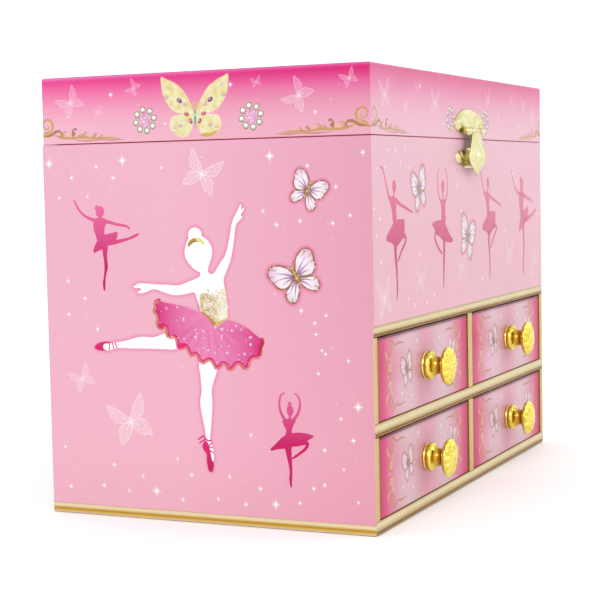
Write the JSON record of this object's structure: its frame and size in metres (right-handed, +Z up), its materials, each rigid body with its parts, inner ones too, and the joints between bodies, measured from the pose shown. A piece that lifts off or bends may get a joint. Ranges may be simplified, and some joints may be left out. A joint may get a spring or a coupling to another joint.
{
  "type": "musical jewellery box",
  "caption": "Box-shaped musical jewellery box with a hinged, mirrored lid, drawers behind a gold front frame, a clasp, and a dancer that turns on a spring-driven movement.",
  "frame": {"origin": "centre of the face the box stands on, without the clasp, knobs, hinges and key", "axes": "+X along the width across the drawers, -Y out of the front, +Z up"},
  "size_m": [0.205, 0.1551, 0.16],
  "materials": {
    "printed_paper": "glossy laminated printed paper on board",
    "board": "fibreboard covered in matt pink paper",
    "gold_trim": "gold foil paper on wooden strip, satin",
    "lining": "pink flocked lining paper",
    "cushion_fabric": "pink velvet-like fabric over foam",
    "pale_gold": "pale gold plated stamped steel",
    "bright_gold": "bright yellow gold plating, polished",
    "steel": "bright steel",
    "brass": "machined brass",
    "mirror_glass": "silvered glass",
    "figure_plastic": "painted moulded plastic",
    "tulle": "stiff pink tulle"
  },
  "bodies": {
    "case": {"side_panel_left": "printed_paper", "side_panel_right": "printed_paper", "back_panel": "printed_paper", "front_panel": "printed_paper", "base_board": "board", "deck_board": "board", "drawer_shelf": "board", "drawer_divider": "board", "front_frame": "gold_trim", "rim_liner": "lining", "floor_lining": "lining", "compartment_walls": "lining", "platform": "lining", "ring_cushions": "cushion_fabric", "clasp_catch": "pale_gold", "body_hinge_leaves": "pale_gold", "hinge_pins": "steel", "body_nails": "bright_gold", "movement_base": "brass", "bedplate": "brass", "top_bridge": "brass", "spring_barrel": "brass", "mainspring": "steel", "comb_block": "brass", "comb": "steel", "comb_screws": "steel", "governor_bracket": "brass"},
    "lid": {"lid_top": "printed_paper", "lid_walls": "printed_paper", "lid_lining": "lining", "mirror": "mirror_glass", "lid_hinge_leaves": "pale_gold", "clasp_plate": "pale_gold", "clasp_pin": "steel", "lid_nails": "bright_gold"},
    "clasp": {"clasp_tongue": "pale_gold"},
    "figure": {"spindle": "steel", "pin_cylinder": "brass", "spindle_gears": "brass", "turntable": "figure_plastic", "figure_spring": "steel", "ballerina": "figure_plastic", "tutu": "tulle"},
    "spring_drive": {"drive_wheel": "brass", "winding_key": "pale_gold"},
    "worm_wheel": {"worm_wheel": "brass"},
    "governor": {"governor": "steel"},
    "stop_wire": {"stop_wire": "steel"},
    "drawer_1": {"drawer_front_1": "printed_paper", "drawer_tray_1": "board", "drawer_knob_1": "bright_gold"},
    "drawer_2": {"drawer_front_2": "printed_paper", "drawer_tray_2": "board", "drawer_knob_2": "bright_gold"},
    "drawer_3": {"drawer_front_3": "printed_paper", "drawer_tray_3": "board", "drawer_knob_3": "bright_gold"},
    "drawer_4": {"drawer_front_4": "printed_paper", "drawer_tray_4": "board", "drawer_knob_4": "bright_gold"}
  },
  "joints": [
    {"name": "lid_hinge", "type": "hinge", "parent": "case", "child": "lid", "pos_m": [0, 0.0666, 0.1355], "axis": [-1, 0, 0], "range_deg": [0, 100]},
    {"name": "clasp_hinge", "type": "hinge", "parent": "lid", "child": "clasp", "pos_m": [0, -0.0676, 0.1386], "axis": [-1, 0, 0], "range_deg": [-5, 115]},
    {"name": "drawer_1_slide", "type": "slide", "parent": "case", "child": "drawer_1", "axis": [0, -1, 0], "range_m": [0, 0.085]},
    {"name": "drawer_2_slide", "type": "slide", "parent": "case", "child": "drawer_2", "axis": [0, -1, 0], "range_m": [0, 0.085]},
    {"name": "drawer_3_slide", "type": "slide", "parent": "case", "child": "drawer_3", "axis": [0, -1, 0], "range_m": [0, 0.085]},
    {"name": "drawer_4_slide", "type": "slide", "parent": "case", "child": "drawer_4", "axis": [0, -1, 0], "range_m": [0, 0.085]},
    {"name": "spindle_spin", "type": "hinge", "parent": "case", "child": "figure", "pos_m": [0, 0.0372, 0.1], "axis": [0, 0, 1], "continuous": true},
    {"name": "key_spin", "type": "hinge", "parent": "case", "child": "spring_drive", "pos_m": [0, 0.06, 0.0855], "axis": [0, 1, 0], "continuous": true},
    {"name": "worm_wheel_spin", "type": "hinge", "parent": "case", "child": "worm_wheel", "pos_m": [0.01125, 0.0372, 0.09], "axis": [0, 0, 1], "continuous": true},
    {"name": "governor_spin", "type": "hinge", "parent": "case", "child": "governor", "pos_m": [0.01865, 0.0372, 0.0942], "axis": [0, 1, 0], "continuous": true},
    {"name": "stop_wire_slide", "type": "slide", "parent": "case", "child": "stop_wire", "axis": [0, 0, 1], "range_m": [0, 0.003]}
  ],
  "couplings": [
    {"joint": "key_spin", "follows": "spindle_spin", "ratio": -0.55556},
    {"joint": "worm_wheel_spin", "follows": "spindle_spin", "ratio": -2},
    {"joint": "governor_spin", "follows": "spindle_spin", "ratio": 32},
    {"joint": "stop_wire_slide", "follows": "lid_hinge", "m_per_rad": 0.0017189}
  ]
}
